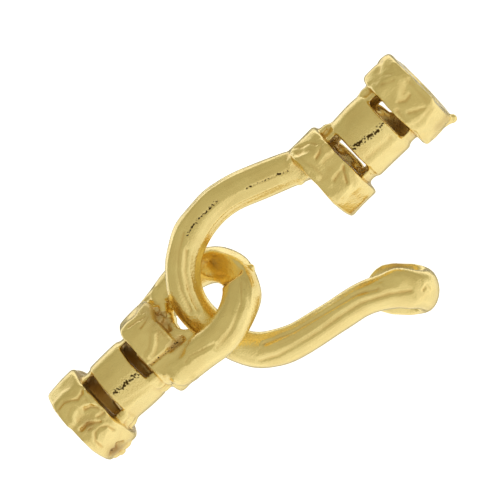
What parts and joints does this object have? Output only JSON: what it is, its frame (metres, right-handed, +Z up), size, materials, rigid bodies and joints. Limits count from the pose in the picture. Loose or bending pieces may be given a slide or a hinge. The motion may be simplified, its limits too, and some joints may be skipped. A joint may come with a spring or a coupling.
{
  "type": "hook and eye clasp",
  "caption": "Cast hook and eye clasp for a round cord, hooked together, each half ending in a banded and slotted socket that the cord is glued into.",
  "frame": {"origin": "middle of the clasp's box, on the surface that it lies on", "axes": "+X from the eye half's mouth towards the hook half's, +Z up from the surface"},
  "size_m": [0.0403, 0.02, 0.0093],
  "materials": {
    "gold_plate": "polished gold plate over cast metal, lightly hammered"
  },
  "bodies": {
    "root": {"hook_half": "gold_plate", "eye_half": "gold_plate"}
  },
  "joints": []
}
